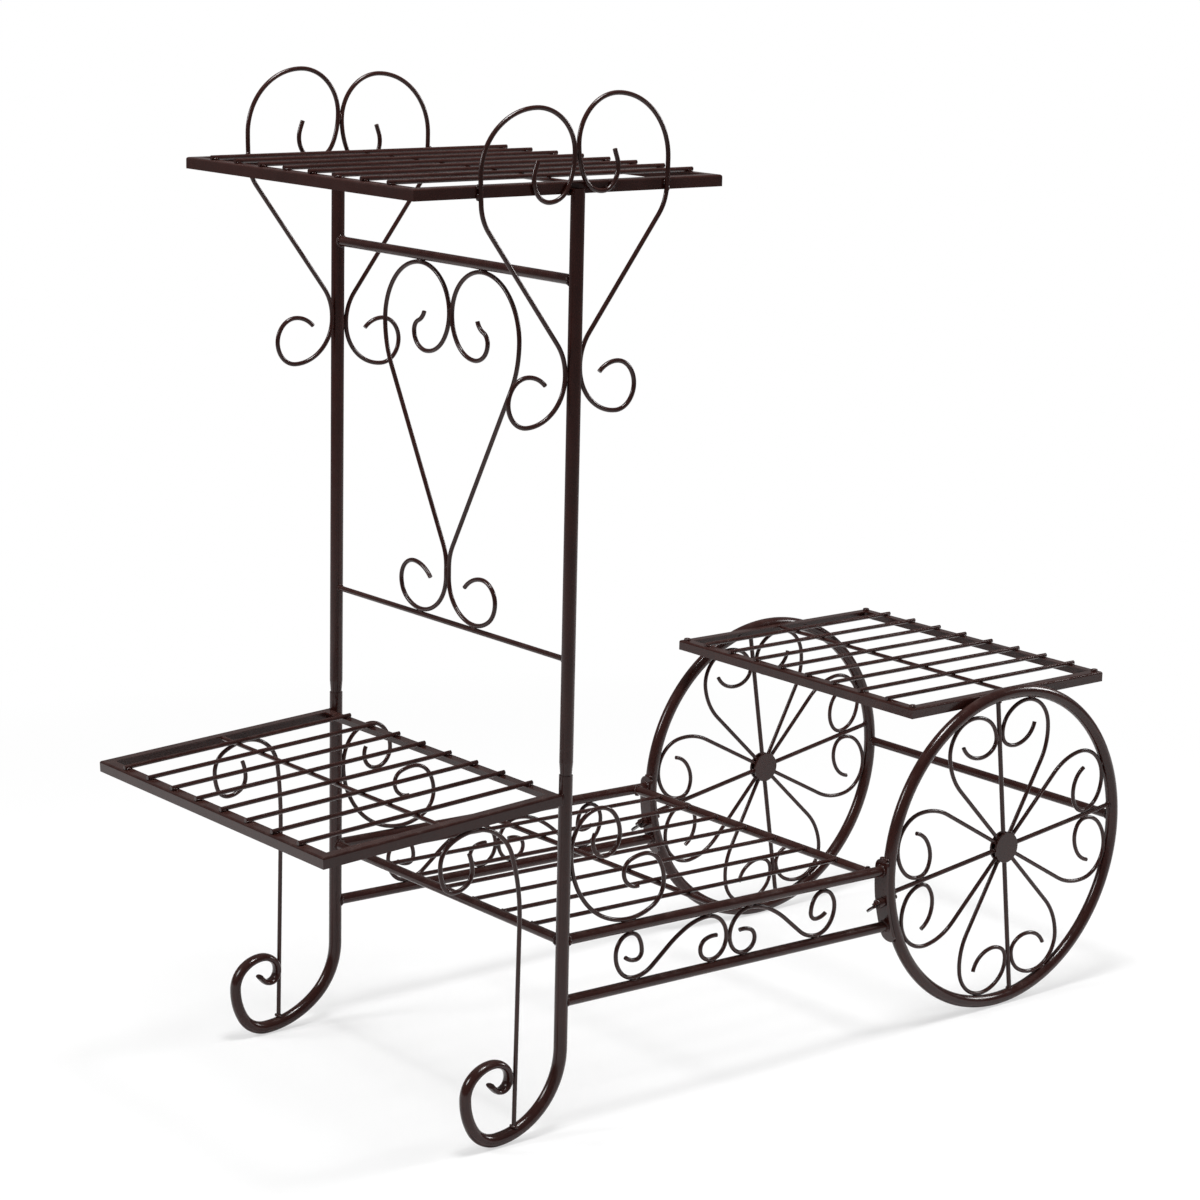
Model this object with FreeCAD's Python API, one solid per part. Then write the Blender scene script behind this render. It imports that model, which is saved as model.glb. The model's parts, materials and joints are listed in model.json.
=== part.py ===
import FreeCAD, Part
import math
import os

# Flower cart stand, in millimetres, +Z up.  While it is built, x = 0 is the axis of the two posts,
# -X is the side of the scroll feet, +X the side of the wheels, -Y is called near and +Y far.
# save() moves every node so that the origin is the middle of the footprint, on the floor.

# ---- stock -------------------------------------------------------------------------------------
tube_d = 12.0              # legs, posts and wheel rims
tube_wall = 1.2
rail_d = 10.0              # the four long rails of the bed
bar_d = 9.0                # cross tubes
thin_wall = 1.0            # wall of rails and cross tubes
rod_d = 5.0                # lower rod and the bed's cross rod
wire_d = 4.0               # scrolls, hearts, shelf slats
spoke_d = 4.5
angle_leg = 10.0           # angle iron of the three shelf frames
angle_t = 1.2
angle_bend = 2.0           # outer bend radius of the angle iron

# ---- clearances --------------------------------------------------------------------------------
weld_gap = 0.05            # left between round stock that is welded side by side
slip = 0.05                # radial play of the spigots in the legs
bolt_play = 0.08           # radial play of a bolt in its holes
face_play = 0.3            # between the collar of a wing bolt and its strip

# ---- posts and legs ----------------------------------------------------------------------------
post_y = 173.6             # post and leg axes lie this far either side of the middle
leg_top = 321.5
spigot_length = 45.0
swage_length = 11.5
shoulder = 0.3             # step of the swage that rests on the leg's rim
post_drop = 5.5            # the posts end this far below the top shelf's upper face
leg_bend_z = 75.0          # the foot's bend starts here
foot_x = -73.7             # lowest point of the foot
foot_out_x = -107.2        # front-most point of the foot's centre line
foot_shift = {"near": 4.5, "far": -5.0}
foot_curl_top = 76.0
foot_end_thickness = 5.0   # the tube is rolled flatter towards its end

# ---- upper rack --------------------------------------------------------------------------------
shelf_top_z = 825.5
top_shelf_front = -162.7
top_shelf_rear = 160.9
top_shelf_inset = 4.4      # post axis to the outside of the shelf
crossbar_z = 744.5
lower_rod_z = 422.2
side_heart_reach = 98.0    # post axis to the outside of a side heart
# the halves of the side hearts are bent and set by hand: top above the shelf, and shift of the whole
side_heart_rise = {"near_front": 65.5, "near_rear": 68.5, "far_front": 68.5, "far_rear": 68.5}
side_heart_lift = {"near_front": -4.5, "near_rear": 3.0, "far_front": 5.5, "far_rear": 0.0}
centre_heart_reach = 98.4

# ---- front shelf -------------------------------------------------------------------------------
front_shelf_depth = 245.5
front_shelf_over = 3.5     # outside of the shelf beyond the legs' axes
front_shelf_z = 306.0      # upper face at its rear edge
front_shelf_pitch = 3.0    # degrees, front edge down
brace_x = {"near": -48.5, "far": -61.0}
brace_over = 1.4           # beyond the legs' axes
brace_weld_x = -99.0

# ---- bed ---------------------------------------------------------------------------------------
rail_inset = 0.6           # from the legs' axes
upper_rail_z = 172.6       # both at the legs' axes
lower_rail_z = 116.8
bed_pitch = 1.0            # degrees, lower towards the wheels
bed_end = 22.7             # rear cross tube to the rims' centre line
bed_rod_x = 184.0
bed_slat_edge = 44.39      # outer slats to the rails' axes
bed_slats = 7
slat_lift = 2.75           # slat axis above the axis of the cross tubes

# ---- wheels ------------------------------------------------------------------------------------
wheel_x = 547.0
rim_radius = 155.3         # centre line of the rim tube
hub_disc_d = 30.0
hub_disc_t = 2.0
heart_spacing = 56.0       # clear width between neighbouring hearts
heart_bend = 60.0          # radius of the slow bend before the lobe
spoke_turn = {"near": 7.0, "far": 9.5}
strip_t = 3.0
strip_w = 16.0
strip_over = 11.4          # reach above the upper rail's axis
strip_under = 16.8         # reach below the lower rail's axis
# wing bolts, degrees below the middle between the ends of the two rails
bolt_below_middle = {"near": 0.7, "far": 3.2}
bolt_d = 5.0
bolt_tip = 2.0             # thread left showing inside the rim
bolt_collar = 7.0          # length of the collar under the wings
wing_radius = 3.9
wing_reach = 6.0           # bolt axis to the middle of a wing
wing_lean = 45.0           # degrees the wings stand off the horizontal at rest
rear_tube_z = 167.0

# ---- rear shelf --------------------------------------------------------------------------------
rear_shelf_ahead = 127.6   # front edge to the hubs
rear_shelf_behind = 135.9  # hubs to the rear edge
rear_shelf_inset = 4.7     # from the legs' axes
rear_shelf_drop = 5.4      # upper face below the top of the rims
shelf_bolt_d = 4.0
shelf_slats = 8
slat_inset = 2.0           # slat ends stop this far inside the frame's outer faces

# ---- values that follow ------------------------------------------------------------------------
tube_r = tube_d / 2
bore_r = tube_r - tube_wall
rail_r = rail_d / 2
bar_r = bar_d / 2
rod_r = rod_d / 2
wire_r = wire_d / 2
spoke_r = spoke_d / 2
bolt_r = bolt_d / 2
spigot_r = bore_r - slip
wheel_z = rim_radius + tube_r
top_shelf_half = post_y - top_shelf_inset
front_shelf_half = post_y + front_shelf_over
brace_y = post_y + brace_over
rail_y = post_y - rail_inset
bed_rear_x = wheel_x - rim_radius - bed_end
bed_slat_pitch = 2 * (rail_y - bed_slat_edge) / (bed_slats - 1)
bed_slope = math.tan(math.radians(bed_pitch))
rear_shelf_front = wheel_x - rear_shelf_ahead
rear_shelf_rear = wheel_x + rear_shelf_behind
rear_shelf_half = post_y - rear_shelf_inset
rear_shelf_top = wheel_z + rim_radius + tube_r - rear_shelf_drop
rim_y = rear_shelf_half + tube_r + weld_gap
strip_inner = rim_radius + tube_r + weld_gap
strip_outer = strip_inner + strip_t
post_top = shelf_top_z - post_drop
x_front = -tube_r - front_shelf_depth
x_rear = wheel_x + rim_radius + tube_r
x_middle = (x_front + x_rear) / 2
SIDES = (("near", -1), ("far", 1))
V = FreeCAD.Vector

os.makedirs("parts", exist_ok=True)


def save(name, solids):
    """Write one node, moved to the middle of the footprint."""
    moved = [s.translated(V(-x_middle, 0, 0)) for s in solids]
    shape = moved[0] if len(moved) == 1 else Part.makeCompound(moved)
    shape.exportStep("parts/" + name + ".step")


# ---- curves ------------------------------------------------------------------------------------
def direction(degrees):
    a = math.radians(degrees)
    return V(math.cos(a), math.sin(a), 0)


def arc_from(p, tangent, q):
    """Arc (or line) that leaves p along the tangent and ends at q, in the drawing plane."""
    chord = q - p
    turn = math.atan2(tangent.x * chord.y - tangent.y * chord.x, tangent.dot(chord))
    if abs(turn) < 1e-4:
        return Part.LineSegment(p, q).toShape()
    side = V(chord.y, -chord.x, 0)
    middle = (p + q) * 0.5 + side * (0.5 * math.tan(turn / 2))
    return Part.Arc(p, middle, q).toShape()


def biarc(p, t, q, u):
    """Two arcs that leave p along t and arrive at q along u, tangent to each other."""
    v = q - p
    if abs(t.dot(v) - v.Length) < 1e-6 and abs(u.dot(v) - v.Length) < 1e-6:
        return [Part.LineSegment(p, q).toShape()]
    bend = 2 * (1 - t.dot(u))
    along = v.dot(t + u)
    if bend < 1e-9:
        d = v.dot(v) / (4 * v.dot(t))
    else:
        d = (-along + math.sqrt(along * along + bend * v.dot(v))) / bend
    joint = (p + q + (t - u) * d) * 0.5
    first = arc_from(p, t, joint)
    second = arc_from(q, u * -1, joint)
    return [first, second]


def curve(stations):
    """Smooth planar path through (x, y, heading) stations, as a list of arcs and lines."""
    edges = []
    for a, b in zip(stations, stations[1:]):
        p, q = V(a[0], a[1], 0), V(b[0], b[1], 0)
        edges += biarc(p, direction(a[2]), q, direction(b[2]))
    return Part.Wire(Part.__sortEdges__(edges))


def stretch(stations, kx, ky):
    """Scale a curve's stations, turning their headings with them."""
    out = []
    for x, y, heading in stations:
        h = direction(heading)
        out.append((x * kx, y * ky, math.degrees(math.atan2(h.y * ky, h.x * kx))))
    return out


def shift(stations, dx, dy):
    return [(x + dx, y + dy, heading) for x, y, heading in stations]


def mirror(stations):
    """Mirror a curve left to right."""
    return [(-x, y, 180 - heading) for x, y, heading in stations]


def bend_to_vertical(x, y, heading, x_line, radius):
    """Stations of a straight run from (x, y) that bends to run straight down along x = x_line."""
    h = direction(heading)
    corner_y = y + h.y / h.x * (x_line - x)
    back = radius * abs(math.tan(math.radians(heading + 90) / 2))
    start = (x_line - h.x * back, corner_y - h.y * back, heading)
    return [(x, y, heading), start, (x_line, corner_y - back, -90)]


def swept(stations, radius, y):
    """Round stock bent along stations given as (x, z, heading), in the plane at y."""
    path = curve(stations)
    start = V(stations[0][0], stations[0][1], 0)
    ring = Part.Circle(start, direction(stations[0][2]), radius).toShape()
    solid = path.makePipeShell([Part.Wire([ring])], True, False)
    return stood_up(solid, y)


def stood_up(shape, y):
    """Turn a shape drawn in the XY plane into the XZ plane at y."""
    shape = shape.copy()
    shape.rotate(V(0, 0, 0), V(1, 0, 0), 90)
    shape.translate(V(0, y, 0))
    return shape


def turned_across(shape):
    """Turn a shape in the XZ plane at y = 0 into the YZ plane at x = 0."""
    shape = shape.copy()
    shape.rotate(V(0, 0, 0), V(0, 0, 1), 90)
    return shape


# ---- stock pieces ------------------------------------------------------------------------------
def rod(p, q, radius):
    return Part.makeCylinder(radius, (q - p).Length, p, q - p)


def tube(p, q, radius, wall):
    return rod(p, q, radius).cut(rod(p, q, radius - wall))


def coped(piece, *cutters):
    """Shape the ends of a piece to the round stock it is welded to."""
    for cutter in cutters:
        piece = piece.cut(cutter)
    return max(piece.Solids, key=lambda s: s.Volume)


def upright(y, radius):
    """Solid cylinder along a post and leg."""
    return Part.makeCylinder(radius, post_top, V(0, y, 0), V(0, 0, 1))


def angle_rail(corner, along, inward, length):
    """One mitred rail of a frame: a vertical flange outside, a flat flange on top."""
    up = V(0, 0, 1)
    inner_bend = angle_bend - angle_t

    def at(a, b):
        return corner + inward * a + up * b

    k = 1 - math.sqrt(0.5)
    outer = Part.Arc(at(0, -angle_bend), at(k * angle_bend, -k * angle_bend), at(angle_bend, 0))
    m = angle_t + k * inner_bend
    inner = Part.Arc(at(angle_bend, -angle_t), at(m, -m), at(angle_t, -angle_bend))
    edges = [
        Part.LineSegment(at(0, -angle_leg), at(0, -angle_bend)),
        outer,
        Part.LineSegment(at(angle_bend, 0), at(angle_leg, 0)),
        Part.LineSegment(at(angle_leg, 0), at(angle_leg, -angle_t)),
        Part.LineSegment(at(angle_leg, -angle_t), at(angle_bend, -angle_t)),
        inner,
        Part.LineSegment(at(angle_t, -angle_bend), at(angle_t, -angle_leg)),
        Part.LineSegment(at(angle_t, -angle_leg), at(0, -angle_leg)),
    ]
    profile = Part.Face(Part.Wire([e.toShape() for e in edges]))
    rail = profile.extrude(along * length)
    deep = angle_leg + 1
    foot = corner - up * deep
    points = [foot, foot + along * length, foot + along * (length - deep) + inward * deep]
    points += [foot + along * deep + inward * deep, foot]
    mitre = Part.Face(Part.makePolygon(points)).extrude(up * (deep + 1))
    return rail.common(mitre).Solids[0]


def shelf(x0, x1, half, top, rod_x):
    """Frame, slats and cross rod of one shelf."""
    ex, ey = V(1, 0, 0), V(0, 1, 0)
    frame = [
        angle_rail(V(x0, -half, top), ex, ey, x1 - x0),
        angle_rail(V(x1, -half, top), ey, ex * -1, 2 * half),
        angle_rail(V(x1, half, top), ex * -1, ey * -1, x1 - x0),
        angle_rail(V(x0, half, top), ey * -1, ex, 2 * half),
    ]
    pitch = 2 * half / (shelf_slats + 1)
    slats = []
    for i in range(shelf_slats):
        y = -half + pitch * (i + 1)
        z = top + wire_r
        slats.append(rod(V(x0 + slat_inset, y, z), V(x1 - slat_inset, y, z), wire_r))
    reach = half - angle_leg
    cross = rod(V(rod_x, -reach, top - wire_r), V(rod_x, reach, top - wire_r), wire_r)
    return {"frame": frame, "slats": slats, "cross_rod": [cross]}


def save_shelf(name, pieces):
    for part, solids in pieces.items():
        save(name + "_" + part, solids)


# ---- legs, feet and posts ----------------------------------------------------------------------
def foot_stations(side):
    """Centre line of the leg down to the lowest point of the foot."""
    return [(0, leg_top, -90), (0, leg_bend_z, -90), (foot_x + foot_shift[side], tube_r, 180)]


def foot_curl(side, y):
    """Rolled end of the foot; the tube gets flatter along it."""
    t = foot_end_thickness / 2
    low = foot_x + foot_shift[side]
    stations = [
        (low, tube_r, 180),
        (low + foot_out_x - foot_x, foot_curl_top * 0.66, 90),
        (low - 5.0, foot_curl_top, 0),
        (low + 12.6, foot_curl_top - 15.5, -90),
        (low + 3.5, foot_curl_top - 26.0, 180),
        (low - 6.6, foot_curl_top - 19.0, 128),
    ]
    path = curve(stations)
    first = Part.Circle(V(low, tube_r, 0), V(-1, 0, 0), tube_r).toShape()
    end = stations[-1]
    heading = direction(end[2])
    centre = V(end[0], end[1], 0)
    oval = Part.Ellipse(centre + V(0, 0, tube_r), centre + V(-heading.y, heading.x, 0) * t, centre)
    shapes = [Part.Wire([first]), Part.Wire([oval.toShape()])]
    solid = path.makePipeShell(shapes, True, False)
    return stood_up(solid, y)


def leg_outline(side, y):
    return swept(foot_stations(side), tube_r, y).fuse(foot_curl(side, y)).removeSplitter()


legs = {}
for side, sign in SIDES:
    y = sign * post_y
    legs[side] = leg_outline(side, y)
    bored = legs[side].cut(swept(foot_stations(side), bore_r, y))
    save("leg_" + side, bored.Solids)

    swage = Part.makeCone(bore_r + shoulder, tube_r, swage_length, V(0, y, leg_top), V(0, 0, 1))
    body_z = leg_top + swage_length
    spigot_z = leg_top - spigot_length
    body = rod(V(0, y, body_z), V(0, y, post_top), tube_r)
    spigot = rod(V(0, y, spigot_z), V(0, y, leg_top), spigot_r)
    post = spigot.fuse([swage, body]).removeSplitter()
    post = post.cut(rod(V(0, y, body_z), V(0, y, post_top), bore_r))
    post = post.cut(rod(V(0, y, spigot_z), V(0, y, body_z), spigot_r - tube_wall))
    # the post is notched round the side of the top shelf
    depth = tube_d
    notch = Part.makeBox(tube_d + 2, depth, angle_leg + 2)
    y0 = top_shelf_half - depth if sign > 0 else -top_shelf_half
    notch.translate(V(-tube_r - 1, y0, shelf_top_z - angle_leg))
    save("post_" + side, post.cut(notch).Solids)

uprights = [upright(-post_y, tube_r), upright(post_y, tube_r)]

# ---- upper rack --------------------------------------------------------------------------------
save_shelf("top_shelf", shelf(top_shelf_front, top_shelf_rear, top_shelf_half, shelf_top_z, 4.0))

crossbar = tube(V(0, -post_y, crossbar_z), V(0, post_y, crossbar_z), bar_r, thin_wall)
save("upper_crossbar", [coped(crossbar, *uprights)])
lower_rod = rod(V(0, -post_y, lower_rod_z), V(0, post_y, lower_rod_z), rod_r)
save("lower_rod", [coped(lower_rod, *uprights)])

heart_touch = wire_r + weld_gap / 2


def side_heart(rise):
    """Half of a side heart: stations outwards from the post axis, upwards from the shelf's top."""
    kx = side_heart_reach / 98.0
    plane = top_shelf_half + wire_r + weld_gap
    beside = math.sqrt((tube_r + wire_r + weld_gap) ** 2 - (post_y - plane) ** 2)
    lobe = [(34.0 + tube_r, 22.5, -70), (38.0 + tube_r, 7.5, -90), (21.4 + tube_r, -11.5, 180)]
    lobe = stretch(lobe, kx, 1)
    lobe.append((heart_touch, 28.0, 90))
    lobe += stretch([(42.0, rise, 0), (98.0, 13.0, -90)], kx, 1)
    run = stretch([(89.0, -33.5, -127.2)], kx, 1)[0]
    run = bend_to_vertical(run[0], run[1], run[2], beside, 44.0)
    tail = [(39.4, -39.4, 0), (59.0, -18.4, 90), (39.4, 2.6, 180), (21.0, -5.4, -133)]
    low = run[-1][1] - 1.3
    tail = shift(stretch(tail, kx, 1), beside, low)
    return lobe + run + [(beside, low, -90)] + tail, plane


for side, sign in SIDES:
    for end in ("rear", "front"):
        which = side + "_" + end
        half, heart_plane = side_heart(side_heart_rise[which])
        if end == "front":
            half = mirror(half)
        lifted = shift(half, 0, shelf_top_z + side_heart_lift[which])
        save("side_heart_" + which, [swept(lifted, wire_r, sign * heart_plane)])


def centre_heart():
    """Half of the tall heart between the crossbar and the lower rod, seen from the front."""
    low = lower_rod_z + rod_r + wire_r + weld_gap
    high = crossbar_z - bar_r - wire_r - weld_gap
    kx = centre_heart_reach / 98.4
    kz = (high - low) / 309.5
    lobe = stretch([(39.0, 266.8, -70), (54.0, 249.0, -90), (35.5, 232.5, 180)], kx, kz)
    lobe.append((heart_touch, 268.8 * kz, 90))
    lobe += stretch([(45.0, 309.5, 0), (98.4, 254.5, -90)], kx, kz)
    run = stretch([(88.0, 213.3, -118.6)], kx, kz)[0]
    run = bend_to_vertical(run[0], run[1], run[2], heart_touch, 40.0)
    tail = [(heart_touch, 36.0 * kz, -90)]
    tail += stretch([(40.0, 0, 0), (70.0, 24.0, 90), (50.6, 42.3, 180), (25.6, 31.3, -133)], kx, kz)
    return shift(lobe + run + tail, 0, low)


half = centre_heart()
save("centre_heart_left", [turned_across(swept(half, wire_r, 0))])
save("centre_heart_right", [turned_across(swept(mirror(half), wire_r, 0))])

# ---- front shelf and what holds it -------------------------------------------------------------
pieces = shelf(x_front, -tube_r, front_shelf_half, front_shelf_z, x_front + front_shelf_depth / 2)
hinge_line = V(-tube_r, 0, front_shelf_z - angle_leg)
for solids in pieces.values():
    for solid in solids:
        solid.rotate(hinge_line, V(0, 1, 0), -front_shelf_pitch)
save_shelf("front_shelf", pieces)

pitch_slope = math.tan(math.radians(front_shelf_pitch))
shelf_under = front_shelf_z - angle_leg + (brace_weld_x + tube_r) * pitch_slope
weld_z = shelf_under - (wire_r + weld_gap) / math.cos(math.radians(front_shelf_pitch))
for side, sign in SIDES:
    brace = [(brace_x[side] - 2.5, tube_r, 89.3), (brace_x[side], 200.0, 89.3)]
    brace += shift([
        (0, 0, 180 + front_shelf_pitch),
        (-34.0, -26.0, -90),
        (-19.0, -50.5, 0),
        (-0.6, -35.0, 90),
        (-4.0, -19.5, 112),
    ], brace_weld_x, weld_z)
    wire = swept(brace, wire_r, sign * brace_y)
    save("front_brace_" + side, [coped(wire, legs[side])])

# ---- bed ---------------------------------------------------------------------------------------
def on_bed(shape):
    """Tilt a shape drawn for a level bed, about the line through the legs at the upper rails."""
    shape = shape.copy()
    shape.rotate(V(0, 0, upper_rail_z), V(0, 1, 0), bed_pitch)
    return shape


def across_bed(x, z, radius):
    """Solid round bar from rail axis to rail axis."""
    return on_bed(rod(V(x, -rail_y, z), V(x, rail_y, z), radius))


hub = {side: V(wheel_x, sign * rim_y, wheel_z) for side, sign in SIDES}
for side, sign in SIDES:
    y = sign * rail_y
    strip_zone = Part.makeCylinder(strip_outer, 60, V(wheel_x, y - 30, wheel_z), V(0, 1, 0))
    for name, z in (("upper", upper_rail_z), ("lower", lower_rail_z)):
        rail = on_bed(tube(V(0, y, z), V(wheel_x - rim_radius, y, z), rail_r, thin_wall))
        rail = coped(rail, upright(sign * post_y, tube_r), strip_zone)
        save("bed_" + name + "_rail_" + side, [rail])

rail_lines = []
for side, sign in SIDES:
    start = V(0, sign * rail_y, upper_rail_z)
    rail_lines.append(on_bed(rod(start, start + V(wheel_x, 0, 0), rail_r)))
front_tube = tube(V(0, -post_y, upper_rail_z), V(0, post_y, upper_rail_z), bar_r, thin_wall)
save("bed_front_tube", [coped(front_tube, *uprights, *rail_lines)])
rear_bar = across_bed(bed_rear_x, upper_rail_z, bar_r)
rear_tube = rear_bar.cut(across_bed(bed_rear_x, upper_rail_z, bar_r - thin_wall))
save("bed_rear_tube", [coped(rear_tube, *rail_lines)])

front_bar = across_bed(0, upper_rail_z, bar_r)
slat_z = upper_rail_z + slat_lift
slats = []
for i in range(bed_slats):
    y = (i - (bed_slats - 1) / 2) * bed_slat_pitch
    slat = on_bed(rod(V(0, y, slat_z), V(bed_rear_x, y, slat_z), wire_r))
    slats.append(coped(slat, front_bar, rear_bar))
save("bed_slats", slats)
rod_z = slat_z - wire_r - rod_r - weld_gap
save("bed_cross_rod", [coped(across_bed(bed_rod_x, rod_z, rod_r), *rail_lines)])

# ---- scrolls beside the legs and under the bed ---------------------------------------------------
beside_leg = math.sqrt((tube_r + wire_r + weld_gap) ** 2 - (post_y - rail_y) ** 2)
rail_touch = 74.0          # where the corner scroll lies on the rail
on_rail = upper_rail_z + rail_r + wire_r + weld_gap - rail_touch * bed_slope
corner_scroll = [
    (34.0, on_rail + 85.0, -118),
    (45.7, on_rail + 62.5, 0),
    (62.0, on_rail + 80.0, 90),
    (38.8, on_rail + 107.0, 180),
    (beside_leg, on_rail + 71.0, -90),
    (rail_touch, on_rail, -bed_pitch),
    (114.0, on_rail + 28.0, 90),
    (90.6, on_rail + 57.0, 180),
    (67.7, on_rail + 43.0, -90),
    (84.5, on_rail + 28.5, 5),
]

s_low = lower_rail_z + rail_r + wire_r + weld_gap
s_high = upper_rail_z - rail_r - wire_r - weld_gap
s_span = s_high - s_low
along = bed_rear_x / 369.0
s_scroll = [
    (11.2, 0.48, -38),
    (29.8, 0.55, 90),
    (15.5, 1.0, 180),
    (0.0, 0.58, -90),
    (22.0, 0.0, 0),
    (60.0, 0.52, 40),
    (106.5, 1.0, 0),
    (129.6, 0.45, -90),
    (112.3, 0.0, 180),
    (98.9, 0.28, 90),
    (117.7, 0.53, -8),
]
s_front = stretch([(61.2 + x, s_low + f * s_span, h) for x, f, h in s_scroll], along, 1)
s_middle = (61.2 + 129.6) * along + wire_r + weld_gap / 2
s_rear = shift(mirror(shift(s_front, -s_middle, 0)), s_middle, 0)

for side, sign in SIDES:
    y = sign * rail_y
    save("corner_scroll_" + side, [swept(corner_scroll, wire_r, y)])
    save("s_scroll_" + side + "_front", [on_bed(swept(s_front, wire_r, y))])
    save("s_scroll_" + side + "_rear", [on_bed(swept(s_rear, wire_r, y))])


# ---- wheels ------------------------------------------------------------------------------------
def below_hub(z):
    """Degrees that a point of the strips' outer face at height z lies below the hub's level."""
    return math.degrees(math.asin((wheel_z - z) / strip_outer))


def rail_end(z, reach):
    """Height of a rail's axis where it meets the strip; reach is the strip's angle there, first guess."""
    return z - (wheel_x - strip_outer * math.cos(math.radians(reach))) * bed_slope


# strips and bolts are set out to a tenth of a degree
upper_end = below_hub(rail_end(upper_rail_z, 0))
lower_end = below_hub(rail_end(lower_rail_z, 18))
strip_top = round(below_hub(rail_end(upper_rail_z, 0) + strip_over), 1)
strip_bottom = round(below_hub(rail_end(lower_rail_z, 18) - strip_under), 1)


def on_wheel(side, angle, radius, across=0.0):
    """Point at an angle (degrees from +X towards +Z) and radius from a hub, moved along the axle."""
    a = math.radians(angle)
    return hub[side] + V(math.cos(a) * radius, across, math.sin(a) * radius)


def wheel_heart():
    """Half of a heart round one spoke: stations outwards along the spoke, then sideways."""
    # the lobe touches the spoke and the rim, and clears the next heart by heart_spacing
    inner = rim_radius - tube_r - wire_r - weld_gap
    off = spoke_r + wire_r + weld_gap
    clear = off + (heart_spacing / 2 + wire_r) * math.sqrt(2)
    b = 4 * clear + 2 * (inner + off)
    c = clear ** 2 + off ** 2 - inner ** 2
    heart_lobe = round((math.sqrt(b * b - 16 * c) - b) / 8, 2)
    ct = off + heart_lobe
    cr = math.sqrt((inner - heart_lobe) ** 2 - ct ** 2)
    # between the hub discs the wire lies beside the half of the next heart
    beside = wire_r + weld_gap
    start = direction(45) * (hub_disc_d / 2 - 3.0) - direction(135) * beside
    crown = V(cr, ct + heart_lobe, 0)
    to_bend = crown - V(0, heart_bend, 0) - start
    lean = math.degrees(math.atan2(to_bend.y, to_bend.x) + math.asin(heart_bend / to_bend.Length))
    tangent = start + direction(lean) * math.sqrt(to_bend.Length ** 2 - heart_bend ** 2)
    k = heart_lobe / 31.6
    return [
        (start.x, start.y, lean),
        (tangent.x, tangent.y, lean),
        (crown.x, crown.y, 0),
        (cr + heart_lobe, ct, -90),
        (cr + 4.5 * k, ct - heart_lobe, 180),
        (cr - 10.5 * k, ct - 12.5 * k, 90),
        (cr + 6.0 * k, ct + 13.0 * k, 20),
    ]


def turned_on_hub(solid, side, angle):
    """Place a shape drawn at the origin of the XZ plane on a hub, turned from +X towards +Z."""
    solid = solid.copy()
    solid.rotate(V(0, 0, 0), V(0, 1, 0), -angle)
    solid.translate(hub[side])
    return solid


half = wheel_heart()
other = [(x, -y, -heading) for x, y, heading in half]
rim_solid = Part.makeTorus(rim_radius, tube_r, V(0, 0, 0), V(0, 1, 0))
rim_void = Part.makeTorus(rim_radius, bore_r, V(0, 0, 0), V(0, 1, 0))


def rounded(plate, radius):
    """Round the four outer corners of a curved strip."""
    corners = []
    for edge in plate.Edges:
        if abs(edge.Length - strip_t) < 1e-3:
            corners.append(edge)
    return plate.makeFillet(radius, corners)


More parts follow.
